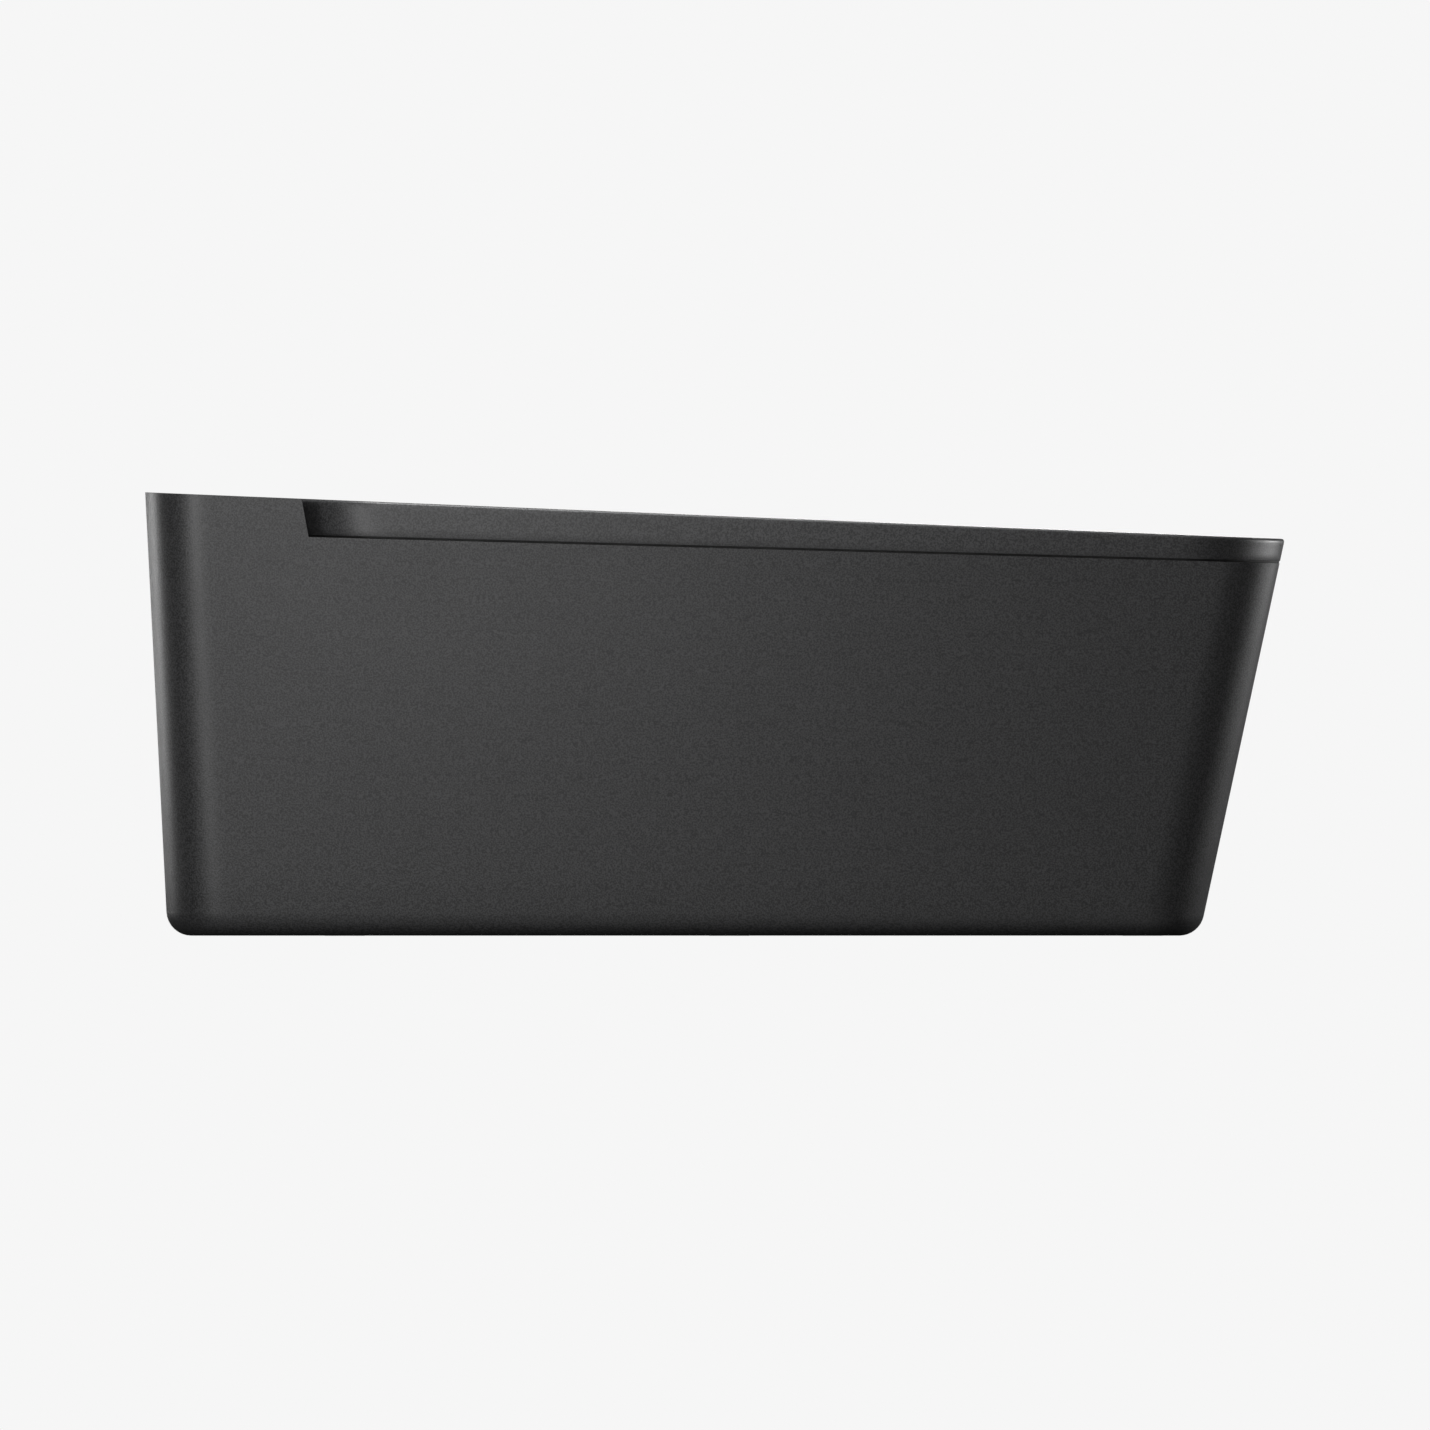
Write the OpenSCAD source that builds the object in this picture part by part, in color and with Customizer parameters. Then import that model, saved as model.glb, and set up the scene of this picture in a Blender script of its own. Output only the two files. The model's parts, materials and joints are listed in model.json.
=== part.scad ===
// Freestanding double-skin bathtub: an outer shell with a raised head deck, an inner basin whose rim
// band stands on the shell's ledge, a steel cradle on levelling feet, and a rotary pop-up waste.
// Origin: on the floor, under the middle of the tub. +X runs to the low foot end, +Z is up.

/* [Shell] */
// Length over the rim
tub_l = 1600; // [1500:10:1700]
// Width over the deck
tub_w = 750; // [720:10:800]
// Height of the rim at the head end
head_z = 622.7; // [600:5:640]
// Slope of the rim, down towards the foot end, in degrees
rim_tilt = 2.34; // [2:0.1:2.6]
// Slope of the ledge below the rim band, in degrees
ledge_tilt = 1.55; // [1.4:0.1:1.7]
// Height of the ledge at the middle of the tub
ledge_mid_z = 544.4; // [540:1:548]
// Outward lean of the head wall, in degrees
head_lean = 2.9; // [2:0.1:4]
// Outward lean of the foot wall, in degrees
foot_lean = 12.14; // [10:0.1:13]
// Outward lean of the two long walls, in degrees
side_lean = 5; // [4:0.5:6]
// Radius of the upright corners
corner_r = 85; // [70:5:100]
// Radius where the walls turn under the tub
base_edge_r = 35; // [30:1:40]
// Thickness of both skins
skin_t = 8; // [6:1:9]
// Width of the flange that turns in under the tub
base_flange_w = 45; // [40:1:48]
// Gap between the shell and the floor
floor_gap = 1; // [1:0.5:3]

/* [Rim band] */
// Radius of the band's upright corners
band_corner_r = 140; // [120:5:150]
// Length from the middle of the tub to the band's head end, at the rim
band_head_l = 606; // [600:1:612]
// Lean of the band's head wall and of the notch edge, in degrees
notch_lean = 10.4; // [9:0.1:12]
// Length from the middle of the tub to the notch edge, at the ledge
notch_l = 570.5; // [566:0.5:575]
// Half of the band's width
band_half_w = 366; // [362:1:368]
// Height of the shadow gap between the ledge and the band
shadow_gap = 3; // [2:0.5:4]
// Width of the ledge that carries the basin
ledge_w = 30; // [26:1:34]

/* [Basin] */
// Height of the basin floor
floor_z = 165; // [160:1:175]
// Width of the rim at the head end
rim_head_w = 40; // [35:1:50]
// Width of the rim at the foot end
rim_foot_w = 60; // [56:1:66]
// Width of the rim along the sides
rim_side_w = 45; // [40:1:52]
// Slope of the backrest, in degrees
back_lean = 27; // [24:1:30]
// Slope of the foot wall inside, in degrees
toe_lean = 24; // [22:1:26]
// Slope of the side walls inside, in degrees
wall_lean = 10; // [8:1:12]
// Radius between the basin's floor and its walls
floor_edge_r = 70; // [60:5:80]
// Corner radius of the basin floor
floor_corner_r = 170; // [150:10:180]
// Corner radius of the basin at the rim
mouth_corner_r = 100; // [90:5:110]

/* [Cradle] */
// Side of the rails' square tube
rail_w = 30; // [25:1:32]
// Height of the crossbars' flat tube
bar_h = 20; // [18:1:22]
// Thickness of the board under the basin floor
board_t = 18; // [15:1:18]
// Radius of the levelling feet
pad_r = 28; // [24:1:30]

/* [Waste] */
// Length from the middle of the tub to the drain
drain_x = 400; // [380:5:410]
// Height of the overflow hole
overflow_z = 480; // [470:5:485]
// How far the plug lifts
plug_lift = 9; // [8:0.5:10]
// Radius of the outlet pipe
outlet_r = 20; // [19:0.5:21]

/* [Hidden] */

$fn = 64;
hull_fn = 32;
big = 2000;
eps = 0.5;
form_top_z = 680;
band_low_z = 480;
fit_gap = 0.3;
running_gap = 0.05;
bore_l = 100;

charcoal = [0.17, 0.17, 0.18];
black = [0.05, 0.05, 0.05];
steel = [0.62, 0.64, 0.66];
grey_plastic = [0.45, 0.46, 0.48];
plywood = [0.72, 0.58, 0.4];
zinc = [0.75, 0.75, 0.72];

half_l = tub_l / 2;
rim_mid_z = head_z - half_l * tan(rim_tilt);
foot_z = head_z - tub_l * tan(rim_tilt);

// A wall is [reach at z = 0, growth of the reach per mm of height], measured out from the middle.
function wall(reach, z, lean) = [reach - z * tan(lean), tan(lean)];
function reach(w, z) = w[0] + w[1] * z;
function moved_in(w, inset) = [w[0] - inset * sqrt(1 + w[1] * w[1]), w[1]];

// Each form is its head wall, its foot wall and its side wall.
foot_wall = wall(half_l, foot_z, foot_lean);
shell_walls = [wall(half_l, head_z, head_lean), foot_wall, wall(tub_w / 2, head_z, side_lean)];
rim_at_band_z = rim_mid_z + band_head_l * tan(rim_tilt);
band_walls = [wall(band_head_l, rim_at_band_z, notch_lean), foot_wall, [band_half_w, 0]];
basin_walls = [
    wall(band_head_l - rim_head_w, rim_at_band_z, back_lean),
    wall(half_l - rim_foot_w, foot_z, toe_lean),
    wall(band_half_w - rim_side_w, rim_mid_z, wall_lean)
];

// Cradle heights, from the basin down
board_top_z = floor_z - skin_t;
board_bottom_z = board_top_z - board_t;
rail_bottom_z = board_bottom_z - rail_w;
bar_bottom_z = rail_bottom_z - bar_h;
rail_y = 130;
rail_ends = [-560, 640];
tube_t = 2;
bar_w = 40;
bar_half_l = 235;
bar_xs = [-520, 20, 600];
board_ends = [-270, 490];
board_half_w = 165;
board_corner_r = 60;
board_hole_r = 48;
board_screw_xs = [-220, 20, 260];
base_opening_r = 40;
foot_y = 205;
pad_h = 10;
stud_r = 6;
stud_top_z = rail_bottom_z - tube_t - 1;
nut_r = 11;
nut_h = 9;
cap_t = 4;
block_size = [40, 18, 50];
bracket_w = 36;
bracket_t = 3;
screw_r = 2.5;
screw_head_r = 5;
screw_head_h = 2.5;
screw_spacing = 20;
board_screw_grip = 12;
block_lift = 2;
block_hole_l = 15;
block_screw_share = 0.62;
end_cap_plug_l = 8;

// Waste, from the basin floor down
flange_r = 36;
flange_t = 2.5;
flange_tube_r = 23.7;
flange_tube_bottom_z = floor_z - 27;
seal_t = 1.5;
body_seal_t = 3;
waste_hole_r = 26;
body_flange_r = 40;
body_flange_t = 5;
body_r = 30;
body_bore_r = 24;
body_bottom_z = 92;
body_flange_z = board_top_z - body_seal_t;
body_tail_r = outlet_r;
body_tail_bottom_z = 66;
pipe_t = 3;
stem_r = 5;
hub_r = 9;
hub_h = 8;
spoke_w = 4;
plug_r = 32;
plug_t = 4.5;
plug_seal_r = 22;
plug_seal_tube_r = 1.6;
arm_l = 18;
arm_pivot_z = 126;
arm_tip_r = 3.5;
arm_w = 5;
arm_rest_angle = asin(plug_lift / 2 / arm_l);
shaft_r = 3;
shaft_end_y = 36;
crank_l = 14;
crank_w = 8;
crank_t = 4;
shaft_boss_half_l = 24;
trap_r = 45;
trap_bottom_z = 14;
trap_top_z = 62;
trap_neck_r = 26;
trap_neck_top_z = 80;
trap_nut_r = 33;
trap_outlet_z = 38;
trap_outlet_r = 24;
trap_outlet_l = 66;
outlet_end_l = 140;
outlet_free_l = 66;
outlet_step = 0.5;
outlet_depth = 20;
outlet_nut_l = 22;

// Overflow, in a frame whose +Z points into the basin, square to its foot wall
toe_wall = basin_walls[1];
overflow_x = reach(toe_wall, overflow_z);
overflow_hole_r = 27;
gasket_r = 36;
gasket_t = 3;
overflow_body_r = 30;
overflow_nut_r = 9;
overflow_depth = 46;
plate_r = 34;
plate_t = 3;
knob_r = 31;
knob_gap = 4;
knob_t = 11;
grip_r = 13;
grip_l = 8;
spindle_r = 4;
hose_r = 16;
hose_depth = 31;
hose_z = 116;
hose_bend_r = 70;
hose_boss_r = hose_r + 4;
hose_boss_l = 52;
hose_socket_l = 20;
cable_r = 3;
cable_y = 33;
cable_depth = 22;
cable_z = 112;
cable_bend_r = 60;
clip_w = 12;
clip_t = 2.5;
bend_steps = 10;
swept_sides = 24;

// ---- Shapes shared by the skins ----

// Puts its children at the four corners of the outline given by reaches.
module at_corners(reaches, r) {
    for (side = [-1, 1]) {
        translate([r - reaches[0], side * (reaches[2] - r), 0]) children();
        translate([reaches[1] - r, side * (reaches[2] - r), 0]) children();
    }
}

// A form between two heights, with leaning walls and round upright corners.
module tapered(walls, inset, r, z_low, z_high) {
    lines = [for (w = walls) moved_in(w, inset)];
    hull() {
        for (z = [z_low, z_high])
            translate([0, 0, z])
                at_corners([for (w = lines) reach(w, z)], r - inset)
                    cylinder(r = r - inset, h = eps, $fn = hull_fn);
    }
}

// The same form with a floor, whose edge is rounded to edge_r.
module floored(walls, inset, floor_r, edge_r, top_r, z_low) {
    lines = [for (w = walls) moved_in(w, inset)];
    small_r = edge_r - inset;
    centre_z = z_low + edge_r;
    centres = [for (w = lines) reach(w, centre_z) - small_r * sqrt(1 + w[1] * w[1])];
    hull() {
        translate([0, 0, centre_z])
            at_corners(centres, floor_r - edge_r)
                rotate_extrude($fn = hull_fn)
                    translate([floor_r - edge_r, 0])
                        circle(small_r, $fn = hull_fn);
        translate([0, 0, form_top_z])
            at_corners([for (w = lines) reach(w, form_top_z)], top_r - inset)
                cylinder(r = top_r - inset, h = eps, $fn = hull_fn);
    }
}

module shell_form(inset) {
    floored(shell_walls, inset, corner_r, base_edge_r, corner_r, floor_gap);
}

module band_form(inset) {
    tapered(band_walls, inset, band_corner_r, band_low_z, form_top_z);
}

module basin_form(inset) {
    floored(basin_walls, inset, floor_corner_r, floor_edge_r, mouth_corner_r, floor_z);
}

// Everything below, or above, a plane that drops towards the foot end.
module below(mid_z, tilt) {
    translate([0, 0, mid_z]) rotate([0, tilt, 0])
        translate([-big, -big, -2 * big]) cube(2 * big);
}

module above(mid_z, tilt) {
    translate([0, 0, mid_z]) rotate([0, tilt, 0])
        translate([-big, -big, 0]) cube(2 * big);
}

module foot_side_of_notch() {
    notch_z = ledge_mid_z + notch_l * tan(ledge_tilt);
    translate([-notch_l, 0, notch_z]) rotate([0, -notch_lean, 0])
        translate([0, -big, -big]) cube(2 * big);
}

// ---- Skins ----

// A flat outline between two x values, the same on both sides, with round corners.
module rounded_outline(x_low, x_high, half_w, r) {
    translate([x_low + r, -half_w]) square([x_high - x_low - 2 * r, 2 * half_w]);
    translate([x_low, r - half_w]) square([x_high - x_low, 2 * (half_w - r)]);
    for (x = [x_low + r, x_high - r])
        for (side = [-1, 1])
            translate([x, side * (half_w - r)]) circle(r);
}

module base_opening() {
    lines = [for (w = shell_walls) reach(w, 0) - base_flange_w];
    translate([0, 0, -eps]) linear_extrude(skin_t + base_edge_r)
        union() rounded_outline(-lines[0], lines[1], lines[2], base_opening_r);
}

module outer_shell() {
    color(charcoal) difference() {
        intersection() {
            shell_form(0);
            below(rim_mid_z, rim_tilt);
        }
        // The recess that the rim band stands in
        intersection() {
            above(ledge_mid_z, ledge_tilt);
            union() {
                foot_side_of_notch();
                band_form(-shadow_gap);
            }
        }
        // The hollow below the ledge, and the one below the head deck
        intersection() {
            shell_form(skin_t);
            below(ledge_mid_z - skin_t, ledge_tilt);
        }
        intersection() {
            shell_form(skin_t);
            below(rim_mid_z - skin_t, rim_tilt);
            translate([-band_head_l - shadow_gap - skin_t - 2 * big, -big, 0]) cube(2 * big);
        }
        band_form(ledge_w);
        base_opening();
    }
}

module inner_basin() {
    color(charcoal) difference() {
        union() {
            difference() {
                intersection() {
                    band_form(0);
                    below(rim_mid_z, rim_tilt);
                    above(ledge_mid_z + shadow_gap, ledge_tilt);
                }
                intersection() {
                    band_form(skin_t);
                    below(rim_mid_z - skin_t, rim_tilt);
                }
            }
            intersection() {
                basin_form(-skin_t);
                below(rim_mid_z, rim_tilt);
            }
        }
        basin_form(0);
        translate([drain_x, 0, board_top_z - eps]) cylinder(r = waste_hole_r, h = skin_t + 2 * eps);
        at_overflow() translate([0, 0, -2 * skin_t]) cylinder(r = overflow_hole_r, h = 3 * skin_t);
    }
}

module ledge_seal() {
    seal_inset = 3;
    seal_w = 12;
    color(black) difference() {
        intersection() {
            band_form(seal_inset);
            above(ledge_mid_z, ledge_tilt);
            below(ledge_mid_z + shadow_gap, ledge_tilt);
        }
        band_form(seal_inset + seal_w);
    }
}

// ---- Cradle ----

module support_board() {
    color(plywood) difference() {
        translate([0, 0, board_bottom_z]) linear_extrude(board_t)
            union() rounded_outline(board_ends[0], board_ends[1], board_half_w, board_corner_r);
        translate([drain_x, 0, board_bottom_z - eps]) cylinder(r = board_hole_r, h = board_t + 2 * eps);
        at_board_screws() translate([0, 0, board_bottom_z - eps])
            cylinder(r = screw_r, h = board_screw_grip + 2 * eps);
    }
}

module at_board_screws() {
    for (x = board_screw_xs)
        for (side = [-1, 1])
            translate([x, side * rail_y, 0]) children();
}

// Each screw's head bears on the inside of the rail's top wall.
module board_screws() {
    head_z = rail_bottom_z + rail_w - tube_t - screw_head_h;
    color(zinc) at_board_screws() translate([0, 0, head_z]) {
        cylinder(r = screw_head_r, h = screw_head_h);
        cylinder(r = screw_r, h = screw_head_h + tube_t + board_screw_grip);
    }
}

module rail(side) {
    length = rail_ends[1] - rail_ends[0];
    color(steel) difference() {
        translate([rail_ends[0], side * rail_y - rail_w / 2, rail_bottom_z]) cube([length, rail_w, rail_w]);
        translate([rail_ends[0] - eps, side * rail_y - rail_w / 2 + tube_t, rail_bottom_z + tube_t])
            cube([length + 2 * eps, rail_w - 2 * tube_t, rail_w - 2 * tube_t]);
        at_board_screws() {
            translate([0, 0, rail_bottom_z - eps]) cylinder(r = screw_head_r + fit_gap, h = tube_t + 2 * eps);
            translate([0, 0, rail_bottom_z + tube_t]) cylinder(r = screw_r + fit_gap, h = rail_w);
        }
    }
}

module crossbar(x) {
    color(steel) difference() {
        translate([x - bar_w / 2, -bar_half_l, bar_bottom_z]) cube([bar_w, 2 * bar_half_l, bar_h]);
        translate([x - bar_w / 2 + tube_t, -bar_half_l - eps, bar_bottom_z + tube_t])
            cube([bar_w - 2 * tube_t, 2 * (bar_half_l + eps), bar_h - 2 * tube_t]);
        for (side = [-1, 1])
            translate([x, side * foot_y, bar_bottom_z - eps])
                cylinder(r = stud_r + running_gap, h = bar_h - tube_t);
    }
}

module tube_end_caps() {
    plug_in = end_cap_plug_l;
    color(black) {
        for (x = bar_xs)
            for (side = [-1, 1]) {
                translate([x, side * (bar_half_l + cap_t / 2), bar_bottom_z + bar_h / 2])
                    cube([bar_w, cap_t, bar_h], center = true);
                translate([x, side * (bar_half_l - plug_in / 2), bar_bottom_z + bar_h / 2])
                    cube([bar_w - 2 * tube_t, plug_in, bar_h - 2 * tube_t], center = true);
            }
        for (x = [rail_ends[0] - cap_t / 2, rail_ends[1] + cap_t / 2])
            for (side = [-1, 1])
                translate([x, side * rail_y, rail_bottom_z + rail_w / 2])
                    cube([cap_t, rail_w, rail_w], center = true);
        for (x = [rail_ends[0] + plug_in / 2, rail_ends[1] - plug_in / 2])
            for (side = [-1, 1])
                translate([x, side * rail_y, rail_bottom_z + rail_w / 2])
                    cube([plug_in, rail_w - 2 * tube_t, rail_w - 2 * tube_t], center = true);
    }
}

// A pad on a threaded stud, which winds down out of its crossbar.
module levelling_foot(x, side) {
    color(zinc) translate([x, side * foot_y, 0]) {
        rotate_extrude()
            polygon([
                [0, 0], [pad_r, 0], [pad_r, pad_h * 0.4], [pad_r * 0.6, pad_h], [stud_r, pad_h],
                [stud_r, stud_top_z], [0, stud_top_z]
            ]);
    }
}

module foot_lock_nuts() {
    color(zinc) for (x = bar_xs)
        for (side = [-1, 1])
            translate([x, side * foot_y, bar_bottom_z - nut_h]) difference() {
                cylinder(r = nut_r, h = nut_h, $fn = 6);
                translate([0, 0, -eps]) cylinder(r = stud_r + running_gap, h = nut_h + 2 * eps);
            }
}

// Puts its children where a bracket meets the long walls: +Y points out and +Z lies up the wall.
module at_brackets() {
    wall_y = reach(moved_in(shell_walls[2], skin_t), bar_bottom_z);
    for (x = bar_xs)
        for (side = [0, 1])
            mirror([0, side, 0])
                translate([x, wall_y, bar_bottom_z]) rotate([-side_lean, 0, 0]) children();
}

module shell_blocks() {
    color(plywood) at_brackets() difference() {
        translate([-block_size[0] / 2, -block_size[1] - fit_gap, block_lift]) cube(block_size);
        at_bracket_screws(-block_size[1] - fit_gap - eps) cylinder(r = screw_r, h = block_hole_l);
    }
}

// An angle whose foot lies level on the crossbar and whose leaf stands against the block.
module shell_brackets() {
    foot_l = 60;
    back_y = -block_size[1] - 2 * fit_gap;
    leaf_y = back_y - bracket_t;
    leaf_top = block_size[2];
    low_z = (bar_h + back_y * sin(side_lean)) / cos(side_lean);
    inner_l = bracket_t * (1 - sin(side_lean)) / cos(side_lean);
    inner_z = low_z + bracket_t * cos(side_lean) - inner_l * sin(side_lean);
    end = [back_y - foot_l * cos(side_lean), low_z - foot_l * sin(side_lean)];
    end_top = end + bracket_t * [-sin(side_lean), cos(side_lean)];
    color(steel) at_brackets() difference() {
        translate([-bracket_w / 2, 0, 0]) rotate([90, 0, 90]) linear_extrude(bracket_w)
            polygon([[back_y, low_z], [back_y, leaf_top], [leaf_y, leaf_top], [leaf_y, inner_z], end_top, end]);
        at_bracket_screws(leaf_y - eps) cylinder(r = screw_r + fit_gap, h = bracket_t + 2 * eps);
    }
}

// Puts its children on each of a bracket's two screw axes, starting at y and pointing out.
module at_bracket_screws(y) {
    screw_z = block_lift + block_size[2] * block_screw_share;
    for (side = [-1, 1])
        translate([side * screw_spacing / 2, y, screw_z]) rotate([-90, 0, 0]) children();
}

module bracket_screws() {
    head_y = -block_size[1] - 2 * fit_gap - bracket_t - screw_head_h;
    color(zinc) at_brackets() at_bracket_screws(head_y) {
        cylinder(r = screw_head_r, h = screw_head_h);
        cylinder(r = screw_r, h = screw_head_h + bracket_t + block_hole_l - 2);
    }
}

// ---- Waste ----

module ring(outer_r, inner_r, h) {
    difference() {
        cylinder(r = outer_r, h = h);
        translate([0, 0, -eps]) cylinder(r = inner_r, h = h + 2 * eps);
    }
}

module waste_flange_seal() {
    color(black) translate([drain_x, 0, floor_z]) ring(flange_r - 2, waste_hole_r, seal_t);
}

// The visible dish, its threaded tube, and the spokes that guide the plug's stem.
module waste_flange() {
    tube_t = 2.2;
    hub_drop = 14;
    tube_in_r = flange_tube_r - tube_t;
    spoke_l = tube_in_r + tube_t / 2;
    top_z = floor_z + seal_t;
    color(black) translate([drain_x, 0, 0]) {
        translate([0, 0, top_z]) ring(flange_r, tube_in_r, flange_t);
        translate([0, 0, flange_tube_bottom_z])
            ring(flange_tube_r, tube_in_r, top_z - flange_tube_bottom_z + eps);
        translate([0, 0, floor_z - hub_drop]) difference() {
            union() {
                cylinder(r = hub_r, h = hub_h);
                for (angle = [0, 90])
                    rotate([0, 0, angle]) translate([-spoke_l, -spoke_w / 2, 0])
                        cube([2 * spoke_l, spoke_w, hub_h]);
            }
            translate([0, 0, -eps]) cylinder(r = stem_r + running_gap, h = hub_h + 2 * eps);
        }
    }
}

module waste_body_seal() {
    color(black) translate([drain_x, 0, body_flange_z]) ring(body_flange_r - 2, waste_hole_r, body_seal_t);
}

// Puts its children on an axis that runs along +X from x, at the height z.
module along_x(x, z) {
    translate([x, 0, z]) rotate([0, 90, 0]) children();
}

// Puts its children on the lift arm's cross axis.
module along_shaft() {
    translate([drain_x - arm_l, 0, arm_pivot_z]) rotate([90, 0, 0]) children();
}

module waste_body() {
    color(grey_plastic) difference() {
        union() {
            translate([drain_x, 0, 0]) {
                translate([0, 0, body_flange_z - body_flange_t])
                    cylinder(r = body_flange_r, h = body_flange_t);
                translate([0, 0, body_bottom_z])
                    cylinder(r = body_r, h = body_flange_z - body_bottom_z - eps);
                translate([0, 0, body_tail_bottom_z])
                    cylinder(r = body_tail_r, h = body_bottom_z - body_tail_bottom_z + eps);
            }
            along_x(drain_x, hose_z) cylinder(r = hose_boss_r, h = hose_boss_l);
            along_shaft() cylinder(r = 2 * shaft_r, h = 2 * shaft_boss_half_l, center = true);
        }
        translate([drain_x, 0, body_bottom_z + pipe_t]) cylinder(r = body_bore_r, h = bore_l);
        translate([drain_x, 0, body_tail_bottom_z - eps]) cylinder(r = body_tail_r - pipe_t, h = bore_l);
        along_x(drain_x, hose_z) cylinder(r = hose_r - pipe_t - 1, h = hose_boss_l + eps);
        along_x(drain_x + hose_boss_l - hose_socket_l, hose_z)
            cylinder(r = hose_r + fit_gap, h = hose_socket_l + eps);
        along_shaft() cylinder(r = shaft_r + running_gap, h = 2 * shaft_end_y, center = true);
    }
}

module plug() {
    edge = 1;
    cap_z = floor_z + seal_t + flange_t + 2 * fit_gap + edge;
    stem_z = arm_pivot_z - plug_lift / 2 + arm_tip_r + fit_gap;
    color(black) translate([drain_x, 0, 0]) rotate_extrude()
        polygon([
            [0, stem_z], [stem_r, stem_z], [stem_r, cap_z], [plug_r - edge, cap_z], [plug_r, cap_z + edge],
            [plug_r, cap_z + plug_t - 2 * edge], [plug_r - 2 * edge, cap_z + plug_t - edge / 2],
            [0, cap_z + plug_t]
        ]);
}

module plug_seal() {
    seal_z = floor_z + seal_t + flange_t + fit_gap;
    lip = 2;
    color(black) translate([drain_x, 0, seal_z])
        ring(plug_seal_r + plug_seal_tube_r + lip, plug_seal_r - plug_seal_tube_r, fit_gap + 1);
}

// The arm inside the body, its cross shaft, and the crank that the cable pulls.
module lift_arm() {
    arm_t = 4;
    shaft_start_y = -9;
    color(zinc) translate([drain_x - arm_l, 0, arm_pivot_z]) {
        translate([0, shaft_start_y, 0]) rotate([-90, 0, 0])
            cylinder(r = shaft_r, h = shaft_end_y - shaft_start_y);
        rotate([0, arm_rest_angle, 0]) {
            translate([0, -arm_w / 2, -arm_t / 2]) cube([arm_l, arm_w, arm_t]);
            translate([arm_l, 0, 0]) rotate([90, 0, 0]) cylinder(r = arm_tip_r, h = arm_w, center = true);
        }
        translate([-crank_w / 2, shaft_end_y - crank_t, -crank_l]) cube([crank_w, crank_t, crank_l]);
    }
}

module trap_nut() {
    lid_t = 5;
    thread_bottom_z = body_tail_bottom_z + 2;
    color(black) translate([drain_x, 0, 0]) {
        translate([0, 0, thread_bottom_z])
            ring(trap_nut_r, trap_neck_r + fit_gap, trap_neck_top_z + fit_gap + eps - thread_bottom_z);
        translate([0, 0, trap_neck_top_z + fit_gap]) ring(trap_nut_r, body_tail_r + fit_gap, lid_t);
    }
}

// Puts its children on the trap's outlet axis, from the middle of the trap towards the head end.
module from_trap() {
    translate([drain_x, 0, trap_outlet_z]) rotate([0, -90, 0]) children();
}

module trap_body() {
    color(grey_plastic) difference() {
        union() {
            translate([drain_x, 0, trap_bottom_z]) cylinder(r = trap_r, h = trap_top_z - trap_bottom_z);
            translate([drain_x, 0, trap_top_z - eps])
                cylinder(r = trap_neck_r, h = trap_neck_top_z - trap_top_z + eps);
            from_trap() cylinder(r = trap_outlet_r, h = trap_outlet_l);
        }
        translate([drain_x, 0, trap_bottom_z - eps])
            cylinder(r = trap_r - pipe_t, h = trap_top_z - trap_bottom_z - pipe_t + eps);
        translate([drain_x, 0, trap_bottom_z]) cylinder(r = body_tail_r + fit_gap, h = bore_l);
        from_trap() cylinder(r = outlet_r + fit_gap, h = trap_outlet_l + eps);
    }
}

module trap_cap() {
    lid_t = 4;
    collar_h = 8;
    color(black) translate([drain_x, 0, 0]) {
        translate([0, 0, trap_bottom_z - lid_t]) cylinder(r = trap_r, h = lid_t);
        translate([0, 0, trap_bottom_z - eps]) ring(trap_r - pipe_t - fit_gap, trap_r - 3 * pipe_t, collar_h);
    }
}

module outlet_nut() {
    wall_t = 5;
    lid_t = 5;
    collar_l = outlet_nut_l / 2;
    lid_x = drain_x - trap_outlet_l - fit_gap - lid_t;
    color(black) {
        along_x(lid_x, trap_outlet_z) ring(trap_outlet_r + wall_t, outlet_r + fit_gap, lid_t);
        along_x(lid_x + lid_t - eps, trap_outlet_z)
            ring(trap_outlet_r + wall_t, trap_outlet_r + fit_gap, collar_l + fit_gap + eps);
    }
}

// The free end has the full radius; the end inside the trap is a little thinner.
module outlet_pipe() {
    wall_t = 2;
    end_x = drain_x - outlet_end_l;
    inner_l = outlet_end_l - trap_outlet_l - outlet_free_l + outlet_depth;
    color(grey_plastic) {
        along_x(end_x, trap_outlet_z) ring(outlet_r, outlet_r - wall_t, outlet_free_l);
        along_x(end_x + outlet_free_l - eps, trap_outlet_z)
            ring(outlet_r - outlet_step, outlet_r - wall_t, inner_l);
    }
}

// ---- Overflow ----

module at_overflow() {
    translate([overflow_x, 0, overflow_z]) rotate([0, toe_lean - 90, 0]) children();
}

// Puts its children on the overflow's outlet, which runs down behind the wall from start below the hole.
module along_outlet(start) {
    translate([-start, 0, -hose_depth]) rotate([0, -90, 0]) children();
}

module overflow_plate() {
    sleeve_t = 2.5;
    sleeve_l = skin_t + 6;
    color(black) at_overflow() {
        translate([0, 0, fit_gap]) ring(plate_r, spindle_r + 6, plate_t);
        translate([0, 0, -sleeve_l])
            ring(overflow_hole_r - 1, overflow_hole_r - 1 - sleeve_t, sleeve_l + 2 * fit_gap);
    }
}

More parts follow.
